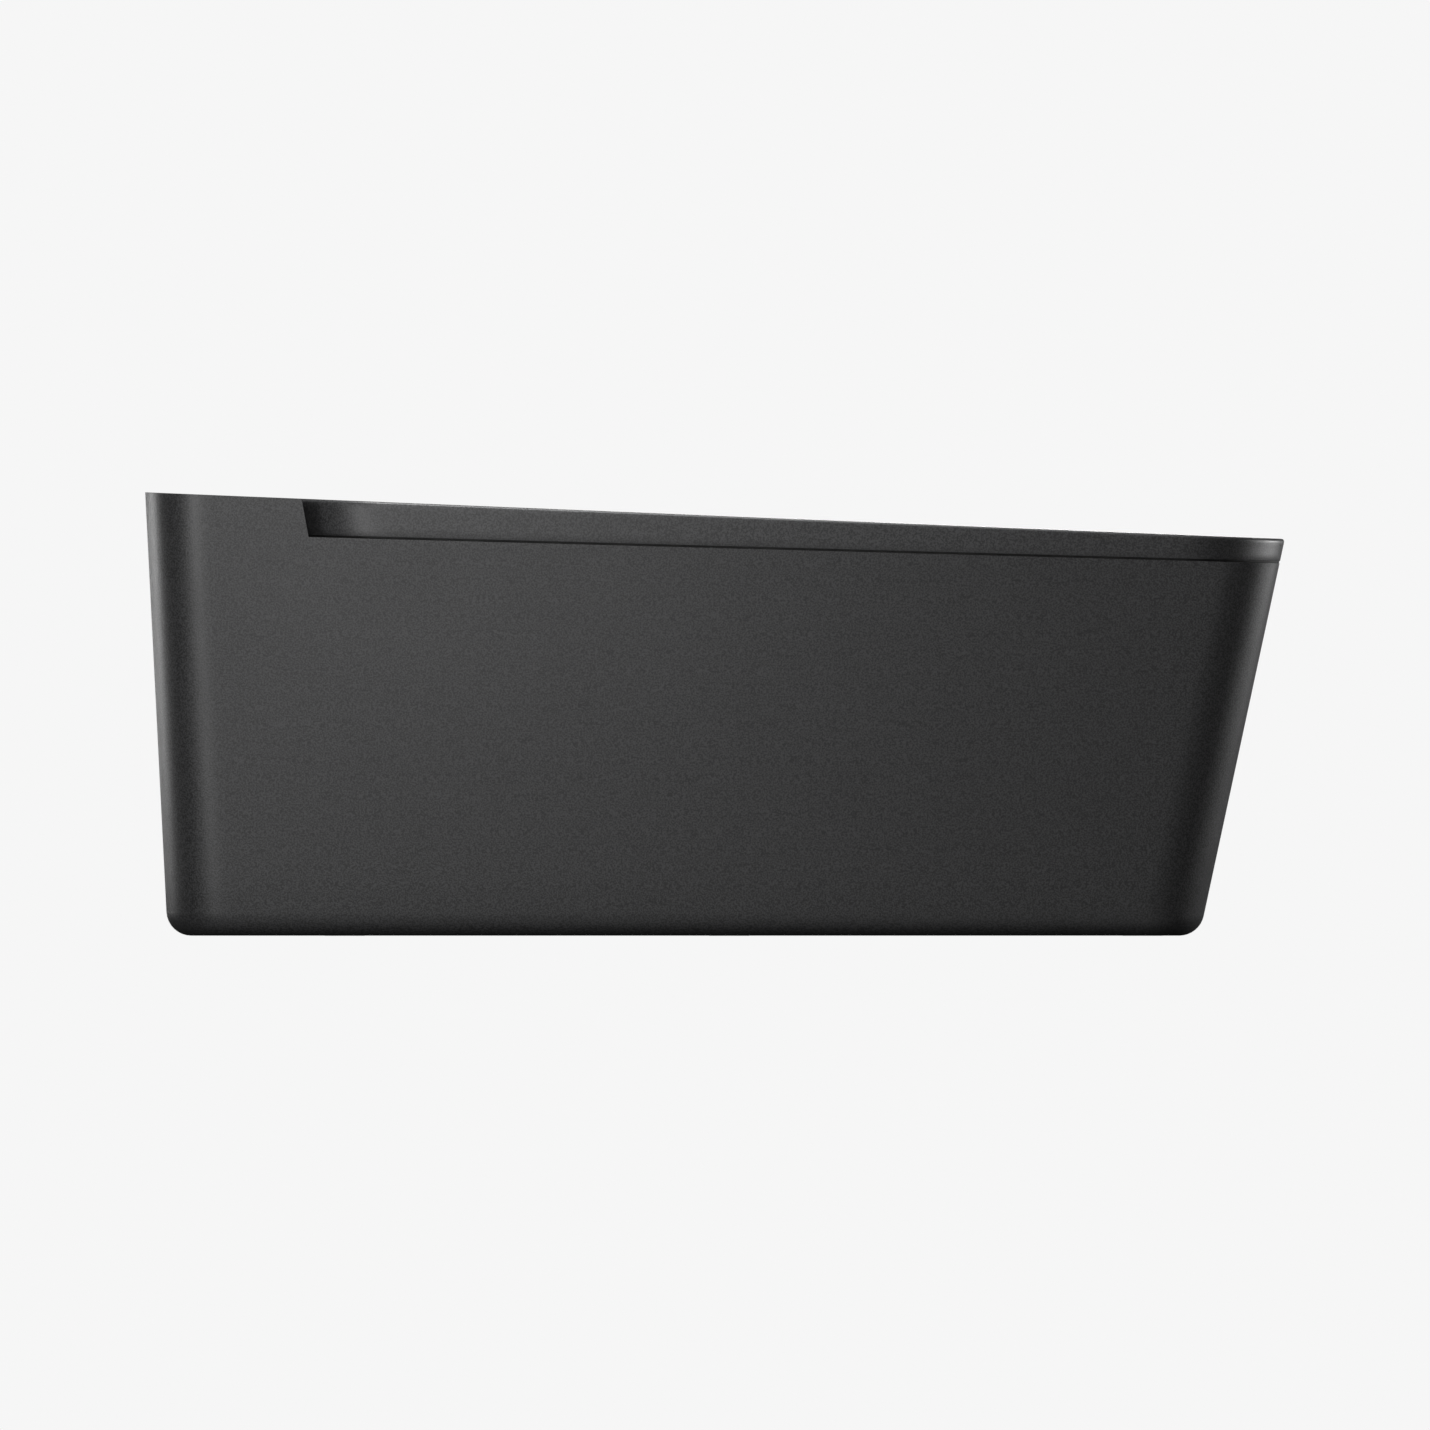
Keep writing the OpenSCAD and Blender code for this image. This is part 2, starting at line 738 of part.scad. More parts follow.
module overflow_knob() {
    inlet_r = 3.5;
    inlets = 9;
    inlet_inset = 8;
    edge = 3;
    bar_w = 7;
    color(black) at_overflow() translate([0, 0, plate_t + knob_gap]) difference() {
        union() {
            rotate_extrude()
                polygon([
                    [0, 0], [knob_r, 0], [knob_r, knob_t - edge], [knob_r - edge, knob_t],
                    [grip_r, knob_t], [grip_r, knob_t + grip_l - 1], [grip_r - 1, knob_t + grip_l],
                    [0, knob_t + grip_l]
                ]);
            translate([0, 0, knob_t + grip_l / 2])
                cube([2 * (knob_r - edge - 1), bar_w, grip_l], center = true);
        }
        translate([0, 0, -eps]) cylinder(r = spindle_r + fit_gap, h = knob_t);
        for (i = [0 : inlets - 1])
            rotate([0, 0, (i + 0.5) * 360 / inlets]) translate([knob_r - inlet_inset, 0, -eps])
                cylinder(r = inlet_r, h = knob_t / 2);
    }
}

module overflow_spindle() {
    spindle_top = plate_t + knob_gap + knob_t - 1.5;
    spindle_bottom = -overflow_depth - 6;
    color(zinc) at_overflow() translate([0, 0, spindle_bottom])
        cylinder(r = spindle_r, h = spindle_top - spindle_bottom);
}

module overflow_gasket() {
    color(black) at_overflow() translate([0, 0, -skin_t - gasket_t - fit_gap / 2])
        ring(gasket_r, overflow_hole_r + 1, gasket_t);
}

// The cup behind the wall, with its outlet along the wall and a bearing for the spindle.
module overflow_body() {
    front = -skin_t - gasket_t - fit_gap;
    flange_h = 4;
    outlet_start = overflow_nut_r + 5;
    outlet_end = overflow_body_r + 28;
    guide = [12, 19, 10];
    color(grey_plastic) at_overflow() difference() {
        union() {
            translate([0, 0, front - flange_h]) cylinder(r = gasket_r + 2, h = flange_h);
            translate([0, 0, -overflow_depth]) cylinder(r = overflow_body_r, h = overflow_depth + front - 1);
            along_outlet(outlet_start) cylinder(r = hose_r + pipe_t, h = outlet_end - outlet_start);
            translate([-overflow_body_r, cable_y - guide[0], -cable_depth - guide[2] / 2]) cube(guide);
        }
        translate([0, 0, pipe_t - overflow_depth]) cylinder(r = overflow_body_r - pipe_t, h = bore_l);
        translate([0, 0, -overflow_depth - eps]) cylinder(r = spindle_r + running_gap, h = bore_l);
        along_outlet(outlet_start) cylinder(r = hose_r - pipe_t, h = bore_l);
        along_outlet(overflow_body_r + 8) cylinder(r = hose_r + fit_gap, h = bore_l);
        translate([-overflow_body_r - eps, cable_y, -cable_depth]) rotate([0, 90, 0])
            cylinder(r = cable_r + fit_gap, h = guide[1] + 1);
    }
}

module overflow_back_nut() {
    nut_h = 4.5;
    color(zinc) at_overflow() translate([0, 0, -overflow_depth - nut_h - fit_gap]) difference() {
        cylinder(r = overflow_nut_r, h = nut_h, $fn = 6);
        translate([0, 0, -eps]) cylinder(r = spindle_r + fit_gap, h = nut_h + 2 * eps);
    }
}

// The route of a pipe in the plane y: level at low_z, then a bend, then up along the foot wall, depth
// behind its inner face. Each step is [x, z, climb angle].
function bent_route(start_x, low_z, bend_r, depth, short_of_hole) =
    let (
        turn = 90 - toe_lean,
        top_x = overflow_x + depth * cos(toe_lean),
        top_z = overflow_z - depth * sin(toe_lean),
        corner_x = top_x - (top_z - low_z) * tan(toe_lean),
        bend_x = corner_x - bend_r * tan(turn / 2)
    )
    concat(
        [[start_x, low_z, 0]],
        [for (i = [0 : bend_steps])
            let (a = i * turn / bend_steps) [bend_x + bend_r * sin(a), low_z + bend_r * (1 - cos(a)), a]],
        [[top_x - short_of_hole * sin(toe_lean), top_z - short_of_hole * cos(toe_lean), turn]]
    );

// A round rod along such a route.
module swept(route, r, y) {
    points = [
        for (step = route) for (i = [0 : swept_sides - 1])
            let (a = i * 360 / swept_sides, out = r * cos(a))
                [step[0] - out * sin(step[2]), y + r * sin(a), step[1] + out * cos(step[2])]
    ];
    last = (len(route) - 1) * swept_sides;
    sides = [
        for (ring = [0 : len(route) - 2]) for (i = [0 : swept_sides - 1])
            let (low = ring * swept_sides, next = (i + 1) % swept_sides)
                [low + i, low + next, low + swept_sides + next, low + swept_sides + i]
    ];
    start_face = [for (i = [swept_sides - 1 : -1 : 0]) i];
    end_face = [for (i = [0 : swept_sides - 1]) last + i];
    polyhedron(points, concat(sides, [start_face, end_face]));
}

module overflow_hose() {
    start_x = drain_x + hose_boss_l - hose_socket_l + 2;
    end_gap = overflow_body_r + 10;
    color(grey_plastic) difference() {
        swept(bent_route(start_x, hose_z, hose_bend_r, hose_depth, end_gap), hose_r, 0);
        swept(bent_route(start_x - 1, hose_z, hose_bend_r, hose_depth, end_gap - 1), hose_r - pipe_t, 0);
    }
}

module control_cable() {
    start_x = drain_x + 40;
    color(black)
        swept(bent_route(start_x, cable_z, cable_bend_r, cable_depth, overflow_body_r - 8), cable_r, cable_y);
}

// Clips round the hose's boss and the overflow's outlet, which hold the hose in its sockets.
module hose_clips() {
    low_r = hose_boss_r + fit_gap;
    high_r = hose_r + pipe_t + fit_gap;
    clip_gap = 6;
    color(steel) {
        along_x(drain_x + body_r + clip_gap, hose_z) ring(low_r + clip_t, low_r, clip_w);
        at_overflow() along_outlet(overflow_body_r + 2 * clip_gap) ring(high_r + clip_t, high_r, clip_w);
    }
}

outer_shell();
inner_basin();
ledge_seal();
support_board();
board_screws();
rail(-1);  // front_rail
rail(1);  // back_rail
crossbar(bar_xs[0]);  // head_crossbar
crossbar(bar_xs[1]);  // middle_crossbar
crossbar(bar_xs[2]);  // foot_crossbar
tube_end_caps();
levelling_foot(bar_xs[0], -1);  // foot_head_front
levelling_foot(bar_xs[0], 1);  // foot_head_back
levelling_foot(bar_xs[1], -1);  // foot_middle_front
levelling_foot(bar_xs[1], 1);  // foot_middle_back
levelling_foot(bar_xs[2], -1);  // foot_foot_front
levelling_foot(bar_xs[2], 1);  // foot_foot_back
foot_lock_nuts();
shell_blocks();
shell_brackets();
bracket_screws();
waste_flange();
waste_flange_seal();
waste_body();
waste_body_seal();
plug();
plug_seal();
lift_arm();
trap_nut();
trap_body();
trap_cap();
outlet_nut();
outlet_pipe();
overflow_plate();
overflow_knob();
overflow_spindle();
overflow_gasket();
overflow_body();
overflow_back_nut();
overflow_hose();
hose_clips();
control_cable();
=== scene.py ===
"""The looks of a freestanding bathtub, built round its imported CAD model.

Metres. +X runs to the low foot end, +Y to the back long side and +Z up; the origin is on the floor.
"""

import json
import math

import bmesh
import bpy
from mathutils import Matrix, Vector


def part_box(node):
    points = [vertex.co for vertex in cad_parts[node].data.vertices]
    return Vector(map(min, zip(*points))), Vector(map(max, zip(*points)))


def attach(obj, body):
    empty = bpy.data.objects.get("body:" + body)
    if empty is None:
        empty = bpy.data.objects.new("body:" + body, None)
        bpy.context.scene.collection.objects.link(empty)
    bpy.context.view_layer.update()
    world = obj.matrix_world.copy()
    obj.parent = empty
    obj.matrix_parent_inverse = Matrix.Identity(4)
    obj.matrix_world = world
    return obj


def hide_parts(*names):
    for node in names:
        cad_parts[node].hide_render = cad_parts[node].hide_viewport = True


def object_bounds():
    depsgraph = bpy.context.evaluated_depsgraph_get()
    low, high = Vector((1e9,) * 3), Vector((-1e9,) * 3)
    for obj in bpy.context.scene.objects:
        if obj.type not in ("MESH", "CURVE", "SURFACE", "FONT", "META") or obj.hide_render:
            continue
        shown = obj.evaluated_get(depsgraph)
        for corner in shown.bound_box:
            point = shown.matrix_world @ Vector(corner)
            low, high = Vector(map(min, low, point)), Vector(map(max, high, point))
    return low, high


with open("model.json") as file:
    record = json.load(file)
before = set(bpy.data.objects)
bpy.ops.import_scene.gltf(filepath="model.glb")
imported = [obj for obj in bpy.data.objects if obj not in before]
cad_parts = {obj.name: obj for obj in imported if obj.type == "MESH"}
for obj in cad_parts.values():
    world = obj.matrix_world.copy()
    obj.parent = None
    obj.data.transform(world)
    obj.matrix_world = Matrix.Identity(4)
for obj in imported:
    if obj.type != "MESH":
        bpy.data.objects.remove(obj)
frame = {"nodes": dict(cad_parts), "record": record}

CAD_LOW, CAD_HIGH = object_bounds()
QUARTER = math.pi / 2
HARD_EDGE = math.radians(35)
SAME_POINT = 1e-6


# ---- Sizes, as the CAD model has them ----


def wall(reach, z, lean):
    """A leaning wall: its reach from the middle at z = 0, and how that grows with height."""
    growth = math.tan(math.radians(lean))
    return reach - z * growth, growth


class Plane:
    """A plane that drops towards the foot end."""

    def __init__(self, mid_z, tilt):
        self.mid_z = mid_z
        self.drop = math.tan(math.radians(tilt))

    def z(self, x):
        return self.mid_z - x * self.drop

    def moved(self, dz):
        copy = Plane(self.mid_z + dz, 0)
        copy.drop = self.drop
        return copy


HALF_L = (CAD_HIGH.x - CAD_LOW.x) / 2
HALF_W = 0.375
RIM_TILT = 2.34
LEDGE_MID_Z = 0.5444
LEDGE_TILT = 1.55
RIM = Plane(CAD_HIGH.z - HALF_L * math.tan(math.radians(RIM_TILT)), RIM_TILT)
LEDGE = Plane(LEDGE_MID_Z, LEDGE_TILT)
HEAD_LEAN = 2.9
FOOT_LEAN = 12.14
SIDE_LEAN = 5
SHELL_CORNER_R = 0.085
SKIN_T = 0.008
SHADOW_GAP = 0.003
LEDGE_W = 0.030
BASE_EDGE_R = 0.035
BASE_FLANGE_W = 0.045
BASE_OPENING_R = 0.040
BAND_HEAD_L = 0.606
BAND_HALF_W = 0.366
BAND_CORNER_R = 0.140
NOTCH_LEAN = 10.4
NOTCH_L = 0.5705
BASIN_Z = 0.165
BASIN_EDGE_R = 0.070
BASIN_HEAD_LEAN = 27
BASIN_SIDE_LEAN = 10
BASIN_FLOOR_CORNER_R = 0.170
BASIN_MOUTH_CORNER_R = 0.100
MOUTH_Z = 0.680
HEAD_RIM_W = 0.040
FOOT_RIM_W = 0.060
SIDE_RIM_W = 0.045
WASTE_HOLE_R = 0.026
OVERFLOW_LEAN = 24
OVERFLOW_Z = 0.480
OVERFLOW_HOLE_R = 0.027

# The skin's foot is this far off the floor. The CAD shell's is 1 mm off it, which would show the feet.
FLOOR_GAP = 0.0002

FOOT_WALL = wall(HALF_L, RIM.z(HALF_L), FOOT_LEAN)
HEAD_RIM_Z = RIM.z(-BAND_HEAD_L)
WASTE = sum((Vector(corner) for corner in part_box("waste_flange")), Vector()) / 2


class Column:
    """A straight line up a wall, with the horizontal way that the wall faces there."""

    def __init__(self, foot, lean, normal):
        self.foot = foot
        self.lean = lean
        self.normal = normal
        self.slope = lean.dot(normal)

    def at(self, z):
        return (self.foot + self.lean * z).to_3d() + Vector((0, 0, z))

    def on(self, plane):
        return self.at((plane.mid_z - plane.drop * self.foot.x) / (1 + plane.drop * self.lean.x))

    def towards(self, other, share):
        mixed = self.normal.lerp(other.normal, share).normalized()
        return Column(self.foot.lerp(other.foot, share), self.lean.lerp(other.lean, share), mixed)

    def rolled(self, radius, low_z, share):
        """A point on the round edge over a floor at low_z, from the floor, 0, to the wall, 1."""
        angle = share * (QUARTER - math.atan(self.slope)) - QUARTER
        rise = radius * math.sin(angle)
        out = radius * (math.cos(angle) - math.hypot(1, self.slope)) - self.slope * rise
        return self.at(low_z + radius + rise) + (self.normal * out).to_3d()


class Form:
    """A body with leaning head, foot and side walls and round upright corners."""

    def __init__(self, head, foot, side, radius, radius_growth=0.0):
        self.head = head
        self.foot = foot
        self.side = side
        self.radius = radius
        self.radius_growth = radius_growth

    def inset(self, depth):
        walls = []
        for reach, growth in (self.head, self.foot, self.side):
            walls.append((reach - depth * math.hypot(1, growth), growth))
        return Form(*walls, self.radius - depth, self.radius_growth)

    def corner(self, x_side, y_side, angle):
        end = self.foot if x_side > 0 else self.head
        normal = Vector((math.cos(angle), math.sin(angle)))
        side = self.side
        growth = self.radius_growth
        foot = Vector((x_side * (end[0] - self.radius), y_side * (side[0] - self.radius)))
        lean = Vector((x_side * (end[1] - growth), y_side * (side[1] - growth)))
        return Column(foot + normal * self.radius, lean + normal * growth, normal)

    def notch(self, y_side):
        """The column where the notch's plane meets a long wall."""
        foot = Vector((NOTCH_LINE[0], y_side * self.side[0]))
        lean = Vector((NOTCH_LINE[1], y_side * self.side[1]))
        return Column(foot, lean, Vector((0, y_side)))

    def nearest(self, point):
        """The nearest point on this form's outline, on the ledge's plane."""
        radius = self.radius + self.radius_growth * point.z
        head, foot, side = (w[0] + w[1] * point.z - radius for w in (self.head, self.foot, self.side))
        core = Vector((min(max(point.x, -head), foot), min(max(point.y, -side), side)))
        flat = core + (point.xy - core).normalized() * radius
        return Vector((flat.x, flat.y, LEDGE.z(flat.x)))


def notch_line():
    """The notch's plane as x at z = 0 and its growth with z."""
    growth = -math.tan(math.radians(NOTCH_LEAN))
    return -NOTCH_L - growth * LEDGE.z(-NOTCH_L), growth


NOTCH_LINE = notch_line()
SHELL = Form(
    wall(HALF_L, CAD_HIGH.z, HEAD_LEAN),
    FOOT_WALL,
    wall(HALF_W, CAD_HIGH.z, SIDE_LEAN),
    SHELL_CORNER_R,
)
BAND = Form(
    wall(BAND_HEAD_L, HEAD_RIM_Z, NOTCH_LEAN),
    FOOT_WALL,
    (BAND_HALF_W, 0),
    BAND_CORNER_R,
)
RADIUS_GROWTH = (BASIN_MOUTH_CORNER_R - BASIN_FLOOR_CORNER_R) / (MOUTH_Z - BASIN_Z - BASIN_EDGE_R)
BASIN = Form(
    wall(BAND_HEAD_L - HEAD_RIM_W, HEAD_RIM_Z, BASIN_HEAD_LEAN),
    wall(HALF_L - FOOT_RIM_W, RIM.z(HALF_L), OVERFLOW_LEAN),
    wall(BAND_HALF_W - SIDE_RIM_W, RIM.mid_z, BASIN_SIDE_LEAN),
    BASIN_MOUTH_CORNER_R - RADIUS_GROWTH * MOUTH_Z,
    RADIUS_GROWTH,
)


def overflow_place():
    """Where the overflow stands on the basin's foot wall; its own Z points into the basin."""
    x = BASIN.foot[0] + BASIN.foot[1] * OVERFLOW_Z
    turn = math.radians(OVERFLOW_LEAN) - QUARTER
    return Matrix.Translation((x, 0, OVERFLOW_Z)) @ Matrix.Rotation(turn, 4, "Y")


OVERFLOW = overflow_place()

# How finely the skins are divided
CORNER_STEPS = 16
END_STEPS = 16
SIDE_STEPS = 36
HEAD_SIDE_STEPS = 10
DECK_STEPS = 5

# Each corner's side along X and Y, and the quarter turns from +X at which its arc starts
CORNERS = ((1, -1, -1), (1, 1, 0), (-1, 1, 1), (-1, -1, 2))


# ---- Mesh helpers ----


def steps(start, end, count):
    """Points from start towards end, without the last one."""
    return [start.lerp(end, i / count) for i in range(count)]


def columns_between(start, end, count):
    return [start.towards(end, i / count) for i in range(count)]


def corner_columns(form, x_side, y_side, start, end, count):
    return [form.corner(x_side, y_side, start + (end - start) * i / count) for i in range(count)]


def ring(form, notched=False):
    """Columns all round a form, from the head end of the front wall on towards the foot end."""
    columns = []
    last = form.corner(-1, -1, 3 * QUARTER)
    for x_side, y_side, turns in CORNERS:
        first = form.corner(x_side, y_side, turns * QUARTER)
        along_side = turns in (-1, 1)
        if along_side and notched:
            counts = (HEAD_SIDE_STEPS, SIDE_STEPS) if x_side > 0 else (SIDE_STEPS, HEAD_SIDE_STEPS)
            columns += columns_between(last, form.notch(y_side), counts[0])
            columns += columns_between(form.notch(y_side), first, counts[1])
        else:
            columns += columns_between(last, first, SIDE_STEPS if along_side else END_STEPS)
        start, end = turns * QUARTER, (turns + 1) * QUARTER
        columns += corner_columns(form, x_side, y_side, start, end, CORNER_STEPS)
        last = form.corner(x_side, y_side, end)
    return columns


def add_grid(bm, rows, closed=False):
    """Faces between rows of points; a closed grid joins each row's end to its start."""
    verts = [[bm.verts.new(point) for point in row] for row in rows]
    width = len(rows[0])
    for low, high in zip(verts, verts[1:]):
        for i in range(width if closed else width - 1):
            j = (i + 1) % width
            bm.faces.new((low[i], low[j], high[j], high[i]))


def rounded(corner, start, end, radius, count):
    """Points round a corner, from the side that leads to start to the side that leads to end."""
    back = (start - corner).normalized()
    on = (end - corner).normalized()
    half = back.angle(on) / 2
    centre = corner + (back + on).normalized() * radius / math.sin(half)
    first = (corner + back * radius / math.tan(half) - centre).normalized()
    final = (corner + on * radius / math.tan(half) - centre).normalized()
    return [centre + first.slerp(final, i / count) * radius for i in range(count + 1)]


def rounded_profile(corners, count=4):
    """An outline through corners, each (r, z, rounding radius); the two ends stay sharp."""
    points = [Vector((r, 0, z)) for r, z, _ in corners]
    outline = [points[0]]
    for i in range(1, len(points) - 1):
        point = points[i]
        radius = corners[i][2]
        outline += rounded(point, points[i - 1], points[i + 1], radius, count) if radius else [point]
    return outline + [points[-1]]


def turned(corners, place, count=64):
    """A closed body turned round place's own upright axis, from corners as rounded_profile takes them."""
    bm = bmesh.new()
    turns = [place @ Matrix.Rotation(4 * QUARTER * i / count, 4, "Z") for i in range(count)]
    add_grid(bm, [[turn @ point for turn in turns] for point in rounded_profile(corners)], closed=True)
    bmesh.ops.remove_doubles(bm, verts=bm.verts, dist=SAME_POINT)
    bmesh.ops.recalc_face_normals(bm, faces=bm.faces)
    return bm


def combine(obj, tool, operation):
    """Joins a tool's mesh to an object or takes it away, and keeps the result's hard edges sharp."""
    mesh = bpy.data.meshes.new("tool")
    tool.to_mesh(mesh)
    tool.free()
    other = bpy.data.objects.new("tool", mesh)
    bpy.context.scene.collection.objects.link(other)
    add_modifier(obj, "BOOLEAN", operation=operation, solver="EXACT", object=other)
    result = bpy.data.meshes.new_from_object(obj.evaluated_get(bpy.context.evaluated_depsgraph_get()))
    obj.modifiers.clear()
    obj.data = result
    bpy.data.objects.remove(other)
    sharpen(obj)


def sharpen(obj):
    """Marks the edges where faces meet at a hard angle, so that shading breaks there."""
    bm = bmesh.new()
    bm.from_mesh(obj.data)
    for edge in bm.edges:
        if len(edge.link_faces) == 2 and edge.calc_face_angle() > HARD_EDGE:
            edge.smooth = False
    bm.to_mesh(obj.data)
    bm.free()


def piece_from(bm, name, body, node, material):
    """Makes the finished mesh a piece that stands for a CAD node."""
    mesh = bpy.data.meshes.new(name)
    bm.to_mesh(mesh)
    bm.free()
    mesh.shade_smooth()
    obj = bpy.data.objects.new(name, mesh)
    bpy.context.scene.collection.objects.link(obj)
    obj.data.materials.append(material)
    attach(obj, body)
    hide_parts(node)
    return obj


def add_modifier(obj, kind, **settings):
    modifier = obj.modifiers.new(kind.title(), kind)
    for key, value in settings.items():
        setattr(modifier, key, value)
    return modifier


# ---- Materials ----


class Surface:
    """A node-based material being put together. Its patterns are laid out in the object's own metres."""

    def __init__(self, name, roughness, metallic=0.0, **sockets):
        self.material = bpy.data.materials.new(name)
        self.material.use_nodes = True
        self.tree = self.material.node_tree
        self.shader = self.tree.nodes["Principled BSDF"]
        self.shader.inputs["Roughness"].default_value = roughness
        self.shader.inputs["Metallic"].default_value = metallic
        for socket, value in sockets.items():
            self.shader.inputs[socket.replace("_", " ")].default_value = value
        self.place = self.add("ShaderNodeTexCoord").outputs["Object"]

    def add(self, kind, **settings):
        node = self.tree.nodes.new(kind)
        for key, value in settings.items():
            setattr(node, key, value)
        return node

    def feed(self, node, **values):
        """Sets sockets by name, from a number, a colour or another node's output."""
        for key, value in values.items():
            socket = node.inputs[key.replace("_", " ")]
            if isinstance(value, bpy.types.NodeSocket):
                self.tree.links.new(value, socket)
            else:
                socket.default_value = value
        return node

    def stretched(self, x, y, z):
        """The object's metres, scaled along each axis."""
        node = self.add("ShaderNodeMapping")
        return self.feed(node, Vector=self.place, Scale=(x, y, z)).outputs["Vector"]

    def noise(self, size, detail=2.0, place=None):
        """Noise whose lumps are about size metres across."""
        node = self.add("ShaderNodeTexNoise")
        return self.feed(node, Vector=place or self.place, Scale=1 / size, Detail=detail).outputs["Fac"]

    def cells(self, size):
        """Cells about size metres across, each with its own colour."""
        node = self.add("ShaderNodeTexVoronoi")
        return self.feed(node, Vector=self.place, Scale=1 / size).outputs["Color"]

    def spread(self, value, low, high, start=0.3, end=0.7):
        """Stretches start to end of a value over low to high."""
        node = self.add("ShaderNodeMapRange")
        self.feed(node, Value=value, From_Min=start, From_Max=end, To_Min=low, To_Max=high)
        return node.outputs["Result"]

    def sum(self, first, second, share):
        """first plus share of second."""
        node = self.add("ShaderNodeMath", operation="MULTIPLY_ADD")
        self.tree.links.new(second, node.inputs[0])
        node.inputs[1].default_value = share
        self.tree.links.new(first, node.inputs[2])
        return node.outputs["Value"]

    def blend(self, factor, first, second):
        """A colour between two others."""
        node = self.add("ShaderNodeMix", data_type="RGBA")
        self.tree.links.new(factor, node.inputs["Factor"])
        for socket, colour in ((node.inputs["A"], first), (node.inputs["B"], second)):
            if isinstance(colour, bpy.types.NodeSocket):
                self.tree.links.new(colour, socket)
            else:
                socket.default_value = (*colour, 1.0)
        return node.outputs["Result"]

    def edges(self, low, high):
        """0 on open faces, rising to 1 along outer edges."""
        pointiness = self.add("ShaderNodeNewGeometry").outputs["Pointiness"]
        return self.spread(pointiness, 0.0, 1.0, low, high)

    def paint(self, colour, roughness=None):
        self.tree.links.new(colour, self.shader.inputs["Base Color"])
        if roughness:
            self.tree.links.new(roughness, self.shader.inputs["Roughness"])

    def relief(self, height, depth):
        """Bumps depth metres high."""
        node = self.feed(self.add("ShaderNodeBump"), Height=height, Distance=depth, Strength=1.0)
        self.tree.links.new(node.outputs["Normal"], self.shader.inputs["Normal"])


def scaled(colour, factor):
    return [channel * factor for channel in colour]


def moulded_charcoal(name):
    """Matt cast acrylic: a fine speckled grain, faint clouding, and edges rubbed a little lighter."""
    surface = Surface(name, 0.44, Specular_IOR_Level=0.5)
    grain = surface.noise(GRAIN_SIZE, detail=1.0)
    clouds = surface.noise(0.16, detail=3.0)
    specks = surface.blend(
        surface.spread(grain, 0, 1, start=0.38, end=0.62),
        scaled(CHARCOAL, 1 - SPECKLE),
        scaled(CHARCOAL, 1 + SPECKLE),
    )
    rubbed = surface.blend(surface.edges(0.51, 0.60), specks, scaled(CHARCOAL, RUBBED))
    clouded_grain = surface.sum(clouds, grain, 0.5)
    surface.paint(rubbed, surface.spread(clouded_grain, 0.405, 0.485, start=0.45, end=1.05))
    surface.relief(grain, GRAIN_DEPTH)
    return surface.material


def seal_rubber():
    """Extruded rubber: dull, with fine drawn lines and a little dust."""
    surface = Surface("seal_rubber", 0.7, Specular_IOR_Level=0.2)
    lines = surface.noise(0.004, place=surface.stretched(0.08, 0.08, 1))
    dust = surface.noise(0.03, detail=5.0)
    surface.paint(
        surface.blend(surface.spread(dust, 0, 1), (0.008, 0.008, 0.008), (0.020, 0.020, 0.019)),
        surface.spread(lines, 0.6, 0.8),
    )
    surface.relief(lines, 0.0002)
    return surface.material


def plywood():
    """Sawn birch plywood: long grain, darker streaks and a rough face."""
    surface = Surface("board_wood", 0.62)
    grain = surface.noise(0.012, detail=6.0, place=surface.stretched(0.08, 1, 1))
    plies = surface.add("ShaderNodeTexWave", bands_direction="Z")
    surface.feed(plies, Vector=surface.place, Scale=55.0, Distortion=1.2, Detail=2.0, Detail_Scale=3.0)
    wood = surface.blend(surface.spread(grain, 0, 1), (0.40, 0.26, 0.14), (0.60, 0.44, 0.27))
    surface.paint(
        surface.blend(surface.spread(plies.outputs["Fac"], 0, 0.35), wood, (0.30, 0.18, 0.09)),
        surface.spread(grain, 0.5, 0.75),
    )
    surface.relief(grain, 0.0006)
    return surface.material


def powder_coat():
    """Grey powder coat on the cradle's tubes: orange peel, and chips to steel along the edges."""
    surface = Surface("cradle_steel", 0.5, Specular_IOR_Level=0.5)
    peel = surface.noise(0.0022)
    clouds = surface.noise(0.08, detail=4.0)
    coat = surface.blend(surface.spread(clouds, 0, 1), (0.27, 0.28, 0.29), (0.36, 0.37, 0.38))
    surface.paint(
        surface.blend(surface.edges(0.53, 0.62), coat, (0.50, 0.50, 0.49)),
        surface.spread(clouds, 0.42, 0.56),
    )
    surface.relief(peel, 0.0002)
    return surface.material


def zinc_plate():
    """Zinc-plated steel: a faint spangle, a warm passivated tint and fine scratches."""
    surface = Surface("hardware_steel", 0.35, metallic=1.0)
    spangle = surface.cells(0.004)
    tint = surface.noise(0.02, detail=3.0)
    scratches = surface.noise(0.0015, detail=4.0, place=surface.stretched(1, 0.1, 1))
    plate = surface.blend(surface.spread(tint, 0, 1), (0.52, 0.53, 0.55), (0.62, 0.59, 0.50))
    worn = surface.sum(scratches, spangle, 0.25)
    surface.paint(plate, surface.spread(worn, 0.25, 0.48, start=0.3, end=0.9))
    surface.relief(scratches, 0.00005)
    return surface.material


def satin_black():
    """Black plated brass of the waste and overflow trim: turned, satin, bright at worn edges."""
    surface = Surface("trim_black", 0.3, metallic=0.6)
    turning = surface.noise(0.0012, detail=2.0, place=surface.stretched(1, 1, 0.15))
    stains = surface.noise(0.018, detail=4.0)
    black = surface.blend(surface.spread(stains, 0, 1), (0.020, 0.020, 0.021), (0.038, 0.037, 0.037))
    surface.paint(
        surface.blend(surface.edges(0.54, 0.66), black, (0.16, 0.14, 0.11)),
        surface.spread(turning, 0.24, 0.36),
    )
    surface.relief(turning, 0.00004)
    return surface.material


